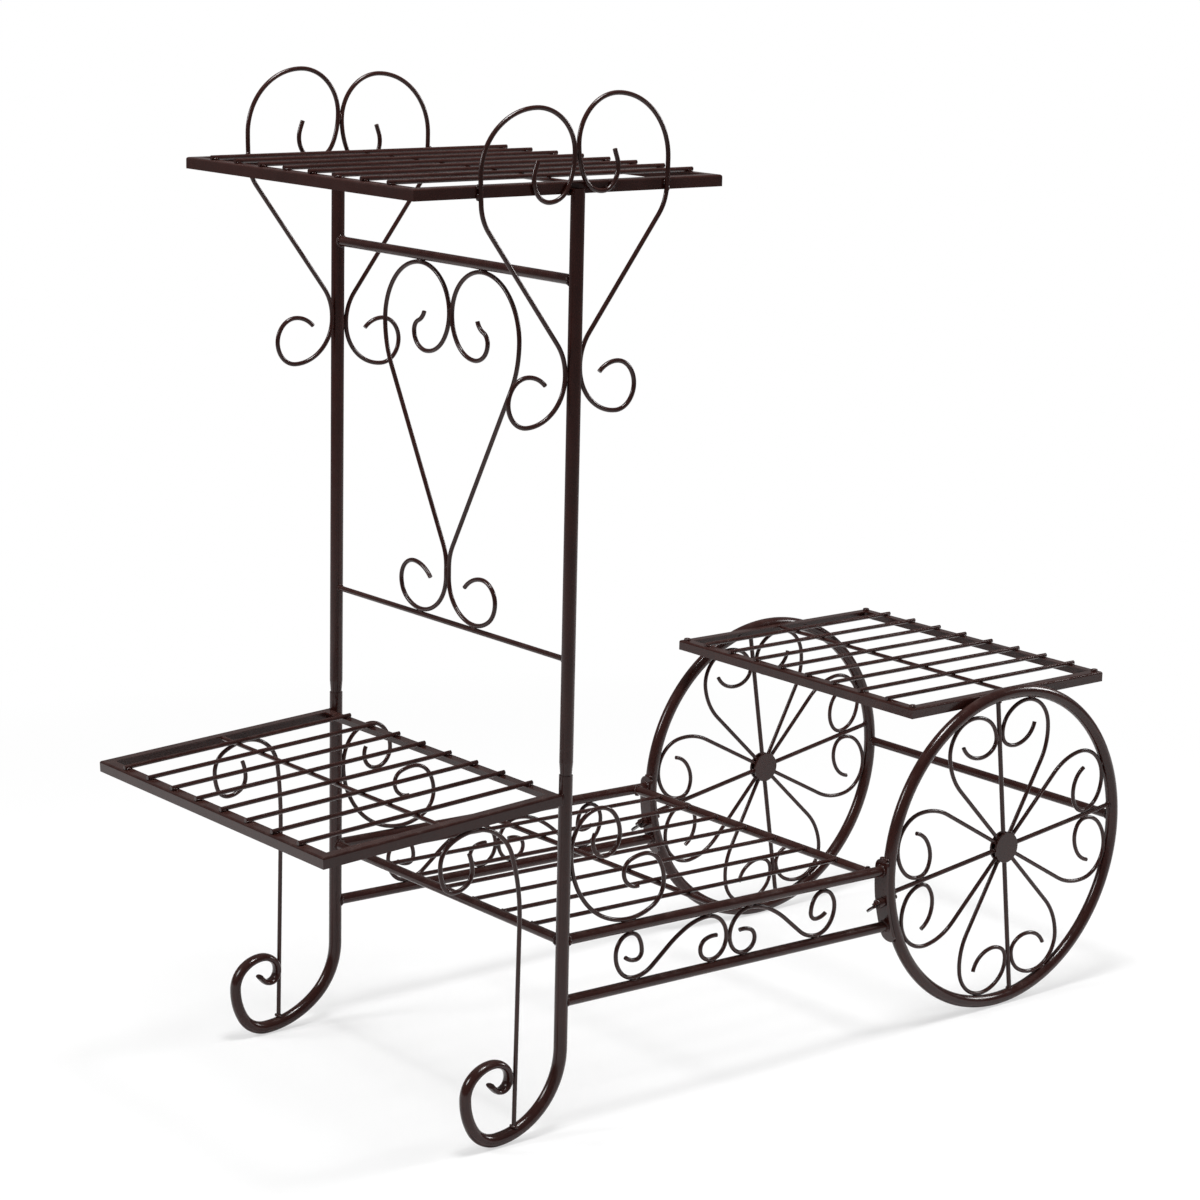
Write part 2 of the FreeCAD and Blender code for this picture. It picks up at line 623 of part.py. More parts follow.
for side, sign in SIDES:
    h = hub[side]
    rim = rim_solid.translated(h)
    void = rim_void.translated(h)
    inside = rim_radius - tube_r
    bolt_dir = 180 + round((upper_end + lower_end) / 2 + bolt_below_middle[side], 1)
    p = on_wheel(side, bolt_dir, inside - 2)
    q = on_wheel(side, bolt_dir, strip_outer + 2)
    hole = rod(p, q, bolt_r + bolt_play)
    save("wheel_rim_" + side, rim.cut(void).cut(hole).Solids)

    spokes = []
    hearts = []
    for quarter in range(4):
        angle = spoke_turn[side] + 90 * quarter
        spoke = rod(on_wheel(side, angle, spoke_d), on_wheel(side, angle, rim_radius), spoke_r)
        spokes.append(coped(spoke, rim))
        for stations in (half, other):
            hearts.append(turned_on_hub(swept(stations, wire_r, 0), side, angle))
    save("wheel_spokes_" + side, spokes)
    save("wheel_hearts_" + side, hearts)

    discs = []
    for face in (-1, 1):
        y = face * (spoke_r + weld_gap)
        start = h + V(0, y, 0)
        discs.append(Part.makeCylinder(hub_disc_d / 2, hub_disc_t, start, V(0, face, 0)))
    save("wheel_hub_discs_" + side, discs)

    # curved strip against the front of the rim
    edge = V(wheel_x, sign * rail_y - strip_w / 2, wheel_z)
    ring = Part.makeCylinder(strip_outer, strip_w, edge, V(0, 1, 0))
    ring = ring.cut(Part.makeCylinder(strip_inner, strip_w, edge, V(0, 1, 0)))
    far_out = strip_outer * 2
    corners = [on_wheel(side, 180 + a, far_out) for a in (strip_top, strip_bottom)]
    outline = [h, corners[0], corners[1], h]
    outline = [c - V(0, strip_w, 0) for c in outline]
    sector = Part.Face(Part.makePolygon(outline)).extrude(V(0, 2 * strip_w, 0))
    strip = rounded(ring.common(sector).Solids[0], strip_w / 2 - 1.0)
    save("rim_strip_" + side, [strip.cut(hole).Solids[0]])

    # wing bolt: thread through strip and rim, collar, and two wings in one plane
    out = on_wheel(side, bolt_dir, 1) - h
    lean = V(-out.z, 0, out.x) * (-1 if out.x > 0 else 1)
    tilt = math.radians(wing_lean)
    wings = V(0, -1, 0) * math.cos(tilt) - lean * math.sin(tilt)
    flat = out.cross(wings)
    seat = on_wheel(side, bolt_dir, strip_outer + face_play)
    shank = rod(on_wheel(side, bolt_dir, inside - bolt_tip), seat + out * 2, bolt_r)
    collar = Part.makeCylinder(bolt_d * 0.95, bolt_collar, seat, out)
    pieces = [collar]
    for e in (wings, wings * -1):
        start = seat + out * bolt_collar - flat * 0.9
        lobe = Part.makeCylinder(wing_radius, 1.8, start + e * wing_reach + out * 5.0, flat)
        points = [(0, -4.0), (4.4, -4.0), (8.4, 2.0), (4.0, 7.6), (0, 2.6)]
        web = [start + e * a + out * b for a, b in points]
        web = Part.Face(Part.makePolygon(web + [web[0]])).extrude(flat * 1.8)
        pieces += [lobe, web]
    save("wing_bolt_" + side, shank.fuse(pieces).removeSplitter().Solids)

rims = [rim_solid.translated(hub[side]) for side, sign in SIDES]
tube_x = wheel_x + math.sqrt(rim_radius ** 2 - (rear_tube_z - wheel_z) ** 2)
axle = tube(V(tube_x, -rim_y, rear_tube_z), V(tube_x, rim_y, rear_tube_z), bar_r, thin_wall)
save("rear_cross_tube", [coped(axle, *rims)])

# ---- rear shelf --------------------------------------------------------------------------------
middle = (rear_shelf_front + rear_shelf_rear) / 2
pieces = shelf(rear_shelf_front, rear_shelf_rear, rear_shelf_half, rear_shelf_top, middle)
bolt_inset = angle_leg * 0.58
bolts = []
nuts = []
for x in (rear_shelf_front + bolt_inset, rear_shelf_rear - bolt_inset):
    for y in (-rear_shelf_half + bolt_inset, rear_shelf_half - bolt_inset):
        radius = shelf_bolt_d / 2
        top = V(x, y, rear_shelf_top)
        hole = rod(V(x, y, rear_shelf_top - 3), V(x, y, rear_shelf_top + 1), radius + bolt_play)
        pieces["frame"] = [rail.cut(hole).Solids[0] for rail in pieces["frame"]]
        head = Part.makeCylinder(radius * 1.7, 2.2, top)
        head = head.makeFillet(1.2, [head.Edges[0]])
        shank = Part.makeCylinder(radius, 8.0, top, V(0, 0, -1))
        bolts.append(head.fuse(shank).removeSplitter().Solids[0])
        nut = Part.makeCylinder(radius * 1.65, 3.0, top - V(0, 0, angle_t), V(0, 0, -1))
        nuts.append(nut.cut(Part.makeCylinder(radius + weld_gap, 9.0, top, V(0, 0, -1))))
save_shelf("rear_shelf", pieces)
save("rear_shelf_bolts", bolts)
save("rear_shelf_nuts", nuts)
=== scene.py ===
import json
import math

import bpy
import numpy as np
from mathutils import Matrix, Vector


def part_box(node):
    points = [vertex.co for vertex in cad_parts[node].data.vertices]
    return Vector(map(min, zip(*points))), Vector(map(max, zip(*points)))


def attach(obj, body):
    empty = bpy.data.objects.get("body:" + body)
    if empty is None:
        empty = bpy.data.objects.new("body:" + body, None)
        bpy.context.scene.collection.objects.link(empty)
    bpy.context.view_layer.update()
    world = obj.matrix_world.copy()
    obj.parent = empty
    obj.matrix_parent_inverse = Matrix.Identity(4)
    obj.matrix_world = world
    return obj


bl_info = {
    "name": "Flower Cart Stand",
    "version": (1, 0, 0),
    "blender": (4, 5, 0),
    "location": "View3D > Sidebar > Flower Cart",
    "description": "Powder coat, weld beads and studio stage for a scrolled metal "
                   "flower cart stand",
    "category": "Object",
}

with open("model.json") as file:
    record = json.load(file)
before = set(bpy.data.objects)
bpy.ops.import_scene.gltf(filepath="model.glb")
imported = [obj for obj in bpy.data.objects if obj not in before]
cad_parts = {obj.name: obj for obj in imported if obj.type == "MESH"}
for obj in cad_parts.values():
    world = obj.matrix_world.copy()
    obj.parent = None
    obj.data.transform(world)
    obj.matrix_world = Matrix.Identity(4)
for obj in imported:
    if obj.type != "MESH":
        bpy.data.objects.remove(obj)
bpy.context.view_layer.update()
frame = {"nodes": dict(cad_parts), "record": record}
MM = 0.001


def middle(node):
    """Centre of a CAD node's box, in metres."""
    low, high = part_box(node)
    return [(a + b) / 2 for a, b in zip(low, high)]


# Places that the welds are measured from, read from the CAD nodes, in metres.
POST_X, POST_Y = middle("post_far")[:2]
POST_R = (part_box("post_far")[1][0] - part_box("post_far")[0][0]) / 2
WHEEL_X, WHEEL_Y, WHEEL_Z = middle("wheel_rim_far")
RIM_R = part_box("wheel_rim_far")[1][2] / 2 - POST_R

# Places that follow the CAD source, in millimetres and degrees. Lengths run from the post axis
# towards the wheels, heights from the floor. The near side is -1, the far side 1.
SIDES = (-1, 1)
# The side hearts' halves go by side, then -1 for the front half and 1 for the rear one.
HEART_LIFT = {(-1, -1): -4.5, (-1, 1): 3.0, (1, -1): 5.5, (1, 1): 0.0}
HEART_ON_SHELF = ((95.8, 4.0), (99.6, 0.5), (99.4, 9.0))  # length, depth below the shelf's top
BRACE_FOOT = {-1: (-50.9, 14.3), 1: (-63.3, 13.6)}  # length, height
BED_PITCH = 1.0
BED_Z = 172.6  # upper rails' axis at the legs
LOWER_Z = 116.8  # lower rails' axis at the legs
RAIL_ENDS = ((BED_Z, 382.8), (LOWER_Z, 391.9))  # height and rear end of the upper and lower rails
BED_SLAT_ENDS = (3.4, 365.6)
SCROLLS_ON_UPPER = (76.7, 167.7, 217.9, 308.9)
SCROLLS_ON_LOWER = (83.2, 173.5, 212.1, 302.4)
SPOKE_TURN = {-1: 7.0, 1: 9.5}
HUB_EDGE = 15.0  # radius of the welds round a hub
HEART_FOOT_TURN = 35.7  # from a spoke to the foot of the heart half beside it
LOBE_TURN = 18.1  # from a spoke to where a lobe touches the rim
CURL_TURN, CURL_R = 1.15, 114.4  # where a curl touches its spoke
STRIP_ENDS = (174.4, 204.5)  # round the hub
REAR_SHELF_SPOTS = (-46, -34, 34, 46)  # from the hub

# Rings of beads round the end of each kind of tube or rod: radius, number, thickness in bead radii.
CROSSBAR_RING = (4.6 * MM, 14)
CROSS_ROD_RING = (2.6 * MM, 9, 0.7)
RAIL_RING = (5.0 * MM, 16)
BRACE_RING = (2.4 * MM, 9, 1.0)
SPOKE_RING = (2.3 * MM, 9, 0.8)
REAR_TUBE_RING = (4.1 * MM, 14, 0.8)

# Softboxes: name, place, target and the setting that holds the power.
SOFTBOX_SIZE = 0.6
SOFTBOXES = (
    ("softbox_top", (-0.2, -0.3, 2.6), (0.0, 0.0, 0.3), "key"),
    ("softbox_left", (-2.0, 0.9, 1.5), (0.0, 0.0, 0.4), "side"),
    ("softbox_right", (2.3, -0.7, 1.3), (0.0, 0.0, 0.4), "side"),
)
FLOOR_HALF = 90.0

BODY_OF = {}
for body, nodes in frame["record"]["behaviour"]["bodies"].items():
    for node in nodes:
        BODY_OF[node] = body


# ---- settings ------------------------------------------------------------------------------------
class CartCoatSettings(bpy.types.PropertyGroup):
    """Colour and surface of the powder coat."""

    coat: bpy.props.FloatVectorProperty(
        name="Coat", description="Main colour of the powder coat",
        default=(0.0285, 0.0075, 0.0056), size=3, subtype="COLOR", min=0.0, max=1.0)
    coat_worn: bpy.props.FloatVectorProperty(
        name="Worn coat", description="Colour where the coat is thin or rubbed",
        default=(0.050, 0.0165, 0.0125), size=3, subtype="COLOR", min=0.0, max=1.0)
    dust: bpy.props.FloatVectorProperty(
        name="Dust", description="Colour of the light dust that lies on upward faces",
        default=(0.13, 0.085, 0.075), size=3, subtype="COLOR", min=0.0, max=1.0)
    roughness: bpy.props.FloatProperty(
        name="Roughness", description="Roughness of the coat", default=0.15, min=0.0, max=1.0,
        subtype="FACTOR")
    peel: bpy.props.FloatProperty(
        name="Orange peel", description="Depth of the coat's fine waviness", default=0.00008,
        min=0.0, max=0.001, subtype="DISTANCE", unit="LENGTH")


class CartWeldSettings(bpy.types.PropertyGroup):
    """Size of the weld beads."""

    bead: bpy.props.FloatProperty(
        name="Bead", description="Radius of one weld bead", default=0.0015, min=0.0002,
        max=0.01, subtype="DISTANCE", unit="LENGTH")
    unevenness: bpy.props.FloatProperty(
        name="Unevenness", description="How much the beads differ in size", default=0.25,
        min=0.0, max=0.9, subtype="FACTOR")


class CartStageSettings(bpy.types.PropertyGroup):
    """Floor and studio light."""

    floor: bpy.props.FloatVectorProperty(
        name="Floor", description="Colour of the studio floor", default=(0.93, 0.93, 0.93),
        size=3, subtype="COLOR", min=0.0, max=1.0)
    sky: bpy.props.FloatProperty(
        name="Fill", description="Strength of the even fill light", default=0.22, min=0.0,
        max=5.0)
    key: bpy.props.FloatProperty(
        name="Key", description="Power of the overhead softbox", default=52.0, min=0.0,
        max=2000.0, unit="POWER")
    side: bpy.props.FloatProperty(
        name="Side", description="Power of each softbox at the sides", default=24.0, min=0.0,
        max=2000.0, unit="POWER")


# ---- materials -----------------------------------------------------------------------------------
class Graph:
    """Short ways to add and join shader nodes."""

    def __init__(self, name):
        self.material = bpy.data.materials.new(name)
        self.material.use_nodes = True
        self.tree = self.material.node_tree
        self.tree.nodes.clear()

    def add(self, kind, inputs=None, **settings):
        """Add a node with its own settings. An input is a socket to link or a value to set."""
        node = self.tree.nodes.new(kind)
        for key, value in settings.items():
            setattr(node, key, value)
        for key, value in (inputs or {}).items():
            if isinstance(value, bpy.types.NodeSocket):
                self.tree.links.new(value, node.inputs[key])
            else:
                node.inputs[key].default_value = value
        return node

    def ramp(self, fac, stops):
        """Colour ramp with (position, colour) stops."""
        node = self.add("ShaderNodeValToRGB", {"Fac": fac})
        ramp = node.color_ramp
        while len(ramp.elements) < len(stops):
            ramp.elements.new(1.0)
        for element, (position, colour) in zip(ramp.elements, stops):
            element.position = position
            element.color = colour
        return node.outputs["Color"]

    def mix(self, fac, a, b):
        """Mix two colours. A colour mix has its factor at input 0 and its colours at 6 and 7."""
        return self.add("ShaderNodeMix", {0: fac, 6: a, 7: b}, data_type="RGBA").outputs[2]

    def maths(self, operation, a, b):
        """One operation on two numbers."""
        return self.add("ShaderNodeMath", {0: a, 1: b}, operation=operation).outputs[0]


def grey(value):
    """Opaque grey of one value."""
    return (value, value, value, 1.0)


def colour(rgb):
    """Opaque colour of three values."""
    return (*rgb, 1.0)


def powder_coat(name, roughness_add=0.0, grain=900.0, wear=0.5, relief=1.0):
    """Glossy dark coat: uneven film, fine orange peel, rubbed specks, and dust on upward faces."""
    s = bpy.context.scene.cart_coat
    g = Graph(name)
    place = g.add("ShaderNodeTexCoord").outputs["Object"]
    broad = g.add("ShaderNodeTexNoise", {"Vector": place, "Scale": 26.0, "Detail": 4.0})
    peel = g.add("ShaderNodeTexNoise", {"Vector": place, "Scale": grain, "Detail": 2.0})
    specks = g.add("ShaderNodeTexNoise", {"Vector": place, "Scale": 420.0, "Detail": 3.0})
    streaks = g.add("ShaderNodeTexNoise", {"Vector": place, "Scale": 90.0, "Detail": 6.0})
    normal = g.add("ShaderNodeNewGeometry").outputs["Normal"]
    upward = g.add("ShaderNodeSeparateXYZ", {0: normal}).outputs["Z"]

    dark = tuple(0.80 * v for v in s.coat)
    film = g.ramp(broad.outputs["Fac"], [(0.36, colour(dark)), (0.62, colour(s.coat))])
    rubbed = g.ramp(specks.outputs["Fac"], [(0.66, grey(0.0)), (0.74, grey(wear))])
    base = g.mix(rubbed, film, colour(s.coat_worn))
    lies = g.ramp(upward, [(0.35, grey(0.0)), (1.0, grey(0.20))])
    drift = g.ramp(streaks.outputs["Fac"], [(0.40, grey(0.15)), (0.68, grey(1.0))])
    dust = g.maths("MULTIPLY", lies, drift)
    base = g.mix(dust, base, colour(s.dust))

    low = s.roughness + roughness_add
    rough = g.ramp(streaks.outputs["Fac"], [(0.30, grey(low - 0.05)), (0.70, grey(low + 0.09))])
    rough = g.maths("ADD", rough, g.maths("MULTIPLY", dust, 0.35))
    height = g.maths("ADD", peel.outputs["Fac"], g.maths("MULTIPLY", rubbed, -0.6))
    bump = g.add("ShaderNodeBump", {
        "Strength": 0.6 * relief, "Distance": s.peel, "Height": height})
    shader = g.add("ShaderNodeBsdfPrincipled", {
        "Base Color": base, "Roughness": rough, "Normal": bump.outputs["Normal"],
        "IOR": 1.5, "Specular IOR Level": 0.32,
    })
    g.add("ShaderNodeOutputMaterial", {"Surface": shader.outputs[0]})
    return g.material


def paint(names, material):
    """Give CAD nodes one material."""
    for name in names:
        slots = frame["nodes"][name].data.materials
        if not slots:
            slots.append(material)
        for i in range(len(slots)):
            slots[i] = material


def nodes_with(*words):
    """Names of the CAD nodes that hold any of the words."""
    return [n for n in frame["nodes"] if any(w in n for w in words)]


class CART_OT_coat(bpy.types.Operator):
    """Coat every piece of the stand."""

    bl_idname = "cart.coat"
    bl_label = "Coat the stand"

    def execute(self, context):
        tubes = nodes_with("leg_", "post_", "rail_", "_tube", "crossbar", "wheel_rim")
        plates = nodes_with("_frame", "rim_strip", "hub_discs")
        fasteners = nodes_with("wing_bolt", "shelf_bolts", "shelf_nuts")
        taken = set(tubes) | set(plates) | set(fasteners)
        wires = [n for n in frame["nodes"] if n not in taken]
        paint(tubes, powder_coat("coat_on_tube"))
        paint(plates, powder_coat("coat_on_plate", roughness_add=0.03, grain=760.0))
        paint(wires, powder_coat("coat_on_wire", roughness_add=0.02, grain=1300.0, wear=0.65))
        paint(fasteners, powder_coat(
            "coat_on_fasteners", roughness_add=0.06, wear=1.0, relief=1.5))
        return {"FINISHED"}


# ---- weld beads ----------------------------------------------------------------------------------
def at(x, y, z):
    """Millimetres from the post axis to metres in the frame."""
    return np.array([POST_X + x * MM, y * MM, z * MM])


def on_bed(x, y, z):
    """A place given as on a level bed, which slopes about the line through the legs."""
    c, s = math.cos(math.radians(BED_PITCH)), math.sin(math.radians(BED_PITCH))
    rise = z - BED_Z
    return at(x * c + rise * s, y, BED_Z - x * s + rise * c)


def on_wheel(side, angle, radius, across=0.0):
    """A place on a wheel, by its angle and radius round the hub and its distance across the rim."""
    a = math.radians(angle)
    hub_x, hub_y, hub_z = (WHEEL_X - POST_X) / MM, side * WHEEL_Y / MM, WHEEL_Z / MM
    return at(hub_x + radius * math.cos(a), hub_y + across, hub_z + radius * math.sin(a))


def bead(place, along, length, thick):
    """One bead: place, direction of its run, and its length and thickness in bead radii."""
    return (np.asarray(place, float), np.asarray(along, float), length, thick)


def ring(place, axis, radius, count, thick=0.9):
    """Beads all round the end of a tube or rod, on a circle about its axis."""
    axis = np.asarray(axis, float)
    axis = axis / np.linalg.norm(axis)
    side = np.cross(axis, (0.3, 0.5, 0.81))
    side = side / np.linalg.norm(side)
    other = np.cross(axis, side)
    beads = []
    for i in range(count):
        a = 2 * math.pi * i / count
        out = side * math.cos(a) + other * math.sin(a)
        run = other * math.cos(a) - side * math.sin(a)
        beads.append(bead(place + out * radius, run, 1.25, thick))
    return beads


def bead_mesh(name, beads, size, unevenness):
    """One mesh of uneven ellipsoids, each a unit sphere stretched along its bead's run."""
    around, rows = 10, 6
    u = np.arange(around) * 2 * math.pi / around
    v = np.arange(1, rows) * math.pi / rows
    sphere = np.stack([
        np.outer(np.sin(v), np.cos(u)), np.outer(np.sin(v), np.sin(u)),
        np.outer(np.cos(v), np.ones(around))], axis=-1).reshape(-1, 3)
    sphere = np.vstack([sphere, (0, 0, 1), (0, 0, -1)])
    top, bottom = len(sphere) - 2, len(sphere) - 1
    faces = []
    for r in range(rows - 2):
        for c in range(around):
            d = (c + 1) % around
            faces += [(r * around + c, (r + 1) * around + c, (r + 1) * around + d),
                      (r * around + c, (r + 1) * around + d, r * around + d)]
    last = (rows - 2) * around
    for c in range(around):
        d = (c + 1) % around
        faces += [(top, c, d), (bottom, last + d, last + c)]
    faces = np.array(faces)

    place = np.array([b[0] for b in beads])
    run = np.array([b[1] for b in beads])
    run /= np.linalg.norm(run, axis=1)[:, None]
    helper = np.where(np.abs(run[:, 2:3]) > 0.8, [[1.0, 0.0, 0.0]], [[0.0, 0.0, 1.0]])
    side = np.cross(run, helper)
    side /= np.linalg.norm(side, axis=1)[:, None]
    third = np.cross(run, side)
    # Sines of the bead's number make the beads uneven, and the same in each run.
    index = np.arange(len(beads))
    longer = 1 + unevenness * np.sin(index * 2.399 + 1.3)
    thicker = 1 + unevenness * np.sin(index * 4.1)
    length = np.array([b[2] for b in beads]) * size * longer
    thick = np.array([b[3] for b in beads]) * size * thicker
    lumps = 1 + 0.12 * np.sin(7 * sphere[:, 2] + 3 * sphere[:, 0])
    girth = (thick[:, None] * lumps[None, :])[:, :, None]
    points = (place[:, None, :]
              + (sphere[None, :, 2:3] * run[:, None, :]) * length[:, None, None]
              + (sphere[None, :, 0:1] * side[:, None, :]) * girth
              + (sphere[None, :, 1:2] * third[:, None, :]) * girth)
    all_faces = faces[None, :, :] + (index * len(sphere))[:, None, None]

    mesh = bpy.data.meshes.new(name)
    mesh.from_pydata(points.reshape(-1, 3), [], all_faces.reshape(-1, 3).tolist())
    mesh.shade_smooth()
    mesh.update()
    obj = bpy.data.objects.new(name, mesh)
    bpy.context.scene.collection.objects.link(obj)
    return obj


def finish_beads(name, beads, body):
    """Make the bead mesh, coat it, and let it move with its body."""
    w = bpy.context.scene.cart_weld
    obj = bead_mesh(name, beads, w.bead, w.unevenness)
    obj.data.materials.append(bpy.data.materials.get("coat_on_weld") or powder_coat(
        "coat_on_weld", roughness_add=0.05, grain=700.0, wear=0.6, relief=2.2))
    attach(obj, body)


def slat_welds(node, count):
    """Beads where the slats' ends lie on the frame, two at each end."""
    low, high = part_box(node)
    radius, inset, rise, aside = 2.0 * MM, 3.5 * MM, 0.7 * MM, 1.5
    slope = (high[2] - low[2] - 2 * radius) / (high[0] - low[0])
    beads = []
    for y in np.linspace(low[1] + radius, high[1] - radius, count):
        for x in (low[0] + inset, high[0] - inset):
            z = low[2] + slope * (x - low[0]) + rise
            for s in SIDES:
                beads.append(bead((x, y + s * aside * MM, z), (1, 0, 0), 2.0, 0.75))
    return beads


class CART_OT_rack_welds(bpy.types.Operator):
    """Add the weld beads of the upper rack."""

    bl_idname = "cart.rack_welds"
    bl_label = "Weld the upper rack"

    def execute(self, context):
        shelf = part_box("top_shelf_frame")
        y, top = shelf[1][1] / MM, shelf[1][2] / MM
        bar = middle("upper_crossbar")[2] / MM
        rod = middle("lower_rod")[2] / MM
        post = POST_Y / MM
        beads = slat_welds("top_shelf_slats", 8)
        for s in SIDES:
            inner = s * (post - POST_R / MM - 0.2)
            beads += ring(at(0, inner, bar), (0, 1, 0), *CROSSBAR_RING)
            beads += ring(at(0, inner, rod), (0, 1, 0), *CROSS_ROD_RING)
            # Side hearts: both halves together above the shelf, then each on post and shelf.
            mean = (HEART_LIFT[s, -1] + HEART_LIFT[s, 1]) / 2
            beads.append(bead(at(0, s * (y + 2), top + 28 + mean), (0, 0, 1), 3.0, 1.3))
            for e in (-1, 1):
                on_post = at(e * 6.4, s * (y + 0.6), top - 9.6)
                beads.append(bead(on_post, (1, 0, 0), 2.4, 1.25))
                foot = at(e * 6.3, s * (y + 2.6), top - 156 + HEART_LIFT[s, e])
                beads.append(bead(foot, (0, 0, 1), 4.0, 1.1))
                for across, down in HEART_ON_SHELF:
                    place = at(e * across, s * (y + 0.5), top - down)
                    beads.append(bead(place, (0, 0, 1), 1.8, 1.15))
                beads.append(bead(at(e * 41.5, s * (y + 0.4), top - 5), (0.3, 0, 1), 2.2, 0.9))
        # Centre heart: on the crossbar, on the lower rod, and where its halves touch.
        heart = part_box("centre_heart_left")
        high, low = heart[1][2] / MM, heart[0][2] / MM
        for s in SIDES:
            for x in (-1.2, 1.2):
                beads.append(bead(at(x, s * 45, high - 0.3), (0, 1, 0), 2.6, 1.5))
            beads.append(bead(at(0, s * 40, low), (0, 1, 0), 3.0, 1.0))
        for z, run in ((low + 272.3, 3.0), (low + 40, 6.0)):
            for x in (-1.3, 1.3):
                beads.append(bead(at(x, 0, z), (0, 0, 1), run, 0.9))
        finish_beads("rack_weld_beads", beads, BODY_OF["post_near"])
        return {"FINISHED"}


class CART_OT_cart_welds(bpy.types.Operator):
    """Add the weld beads of legs, shelves, bed and scrolls."""

    bl_idname = "cart.cart_welds"
    bl_label = "Weld the cart"

    def execute(self, context):
        post = POST_Y / MM
        r = POST_R / MM
        rail_y = middle("bed_upper_rail_far")[1] / MM
        hub_x, hub_z = (WHEEL_X - POST_X) / MM, WHEEL_Z / MM
        beads = slat_welds("front_shelf_slats", 8) + slat_welds("rear_shelf_slats", 8)
        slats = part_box("bed_slats")
        for y in np.linspace(slats[0][1] / MM + 2, slats[1][1] / MM - 2, 7):
            for x in BED_SLAT_ENDS:
                for s in SIDES:
                    place = on_bed(x, y + s * 1.8, BED_Z + 3.0)
                    beads.append(bead(place, (0.6, 0, -0.6), 1.6, 0.9))
        for s in SIDES:
            # Rails on the leg and on the strip, then the bed's front tube, rear tube and rod.
            for z, x in RAIL_ENDS:
                beads += ring(on_bed(r - 0.4, s * rail_y, z), (1, 0, 0), *RAIL_RING)
                end = on_bed(x, s * rail_y, z)
                outward = end - at(hub_x, s * rail_y, hub_z)
                beads += ring(end, outward, *RAIL_RING)
            beads += ring(at(0, s * (post - r - 0.2), BED_Z), (0, 1, 0), *CROSSBAR_RING)
            beads += ring(on_bed(369, s * (rail_y - 5), BED_Z), (0, 1, 0), *CROSSBAR_RING)
            rod_end = on_bed(184, s * (rail_y - 4.8), BED_Z - 1.8)
            beads += ring(rod_end, (0, 1, 0), *CROSS_ROD_RING)
            # Front shelf on the leg, its brace on the foot and under the shelf.
            for side in (-3.6, 3.0):
                beads.append(bead(at(-r + 0.6, s * (post + side), 301), (0, 0, 1), 3.2, 1.1))
            foot_x, foot_z = BRACE_FOOT[s]
            beads += ring(at(foot_x, s * 175.0, foot_z), (0.3, 0, 1), *BRACE_RING)
            beads.append(bead(at(-99, s * 174.6, 290.4), (1, 0, 0), 3.2, 1.1))
            beads.append(bead(at(-99, s * 176.4, 290.4), (1, 0, 0), 3.0, 0.9))
            # Corner scroll on leg and rail, S-scrolls on both rails and on each other.
            beads.append(bead(at(6.9, s * rail_y, 249.4), (0, 0, 1), 4.0, 1.2))
            beads.append(bead(on_bed(74, s * rail_y, BED_Z + 5.2), (1, 0, 0), 4.0, 1.2))
            for x in SCROLLS_ON_UPPER:
                beads.append(bead(on_bed(x, s * rail_y, BED_Z - 5.1), (1, 0, 0), 2.4, 1.45))
            for x in SCROLLS_ON_LOWER:
                beads.append(bead(on_bed(x, s * rail_y, LOWER_Z + 5.1), (1, 0, 0), 2.4, 1.45))
            beads.append(bead(on_bed(192.8, s * rail_y, 142.6), (0, 0, 1), 3.2, 1.2))
        finish_beads("cart_weld_beads", beads, BODY_OF["leg_near"])
        return {"FINISHED"}


class CART_OT_wheel_welds(bpy.types.Operator):
    """Add the weld beads of both wheels and of what joins them."""

    bl_idname = "cart.wheel_welds"
    bl_label = "Weld the wheels"

    def execute(self, context):
        hub_x = (WHEEL_X - POST_X) / MM
        hub_z = WHEEL_Z / MM
        rim = RIM_R / MM
        rim_inside = rim - 5.9
        tube = middle("rear_cross_tube")
        tube_x, tube_z = (tube[0] - POST_X) / MM, tube[2] / MM
        beads = []
        for s in SIDES:
            for quarter in range(4):
                turn = SPOKE_TURN[s] + 90 * quarter
                a = math.radians(turn)
                outward = (math.cos(a), 0, math.sin(a))
                tangent = (-math.sin(a), 0, math.cos(a))
                beads += ring(on_wheel(s, turn, rim_inside), outward, *SPOKE_RING)
                for lean in (-HEART_FOOT_TURN, 0, HEART_FOOT_TURN):
                    for across in (-1.0, 1.0):
                        place = on_wheel(s, turn + lean, HUB_EDGE, across)
                        beads.append(bead(place, tangent, 1.6, 1.1))
                for e in (-1, 1):
                    lobe = on_wheel(s, turn + e * LOBE_TURN, rim_inside)
                    beads.append(bead(lobe, tangent, 3.4, 1.1))
                    curl = on_wheel(s, turn + e * CURL_TURN, CURL_R)
                    beads.append(bead(curl, outward, 3.0, 1.0))
            for angle in STRIP_ENDS:
                for across in (-0.2, -3.7):
                    place = on_wheel(s, angle, rim + 6.2, s * across)
                    beads.append(bead(place, (0, 1, 0), 3.0, 1.05))
            # Rear shelf and rear cross tube, on the inner side of the rim.
            inner = s * (WHEEL_Y / MM - 5.7)
            for dx in REAR_SHELF_SPOTS:
                z = hub_z + math.sqrt(rim ** 2 - dx ** 2)
                beads.append(bead(at(hub_x + dx, inner, z + 1.2), (1, 0, -dx / 150), 4.0, 1.1))
            beads += ring(at(tube_x, inner, tube_z), (0, 1, 0), *REAR_TUBE_RING)
        finish_beads("wheel_weld_beads", beads, BODY_OF["wheel_rim_near"])
        return {"FINISHED"}


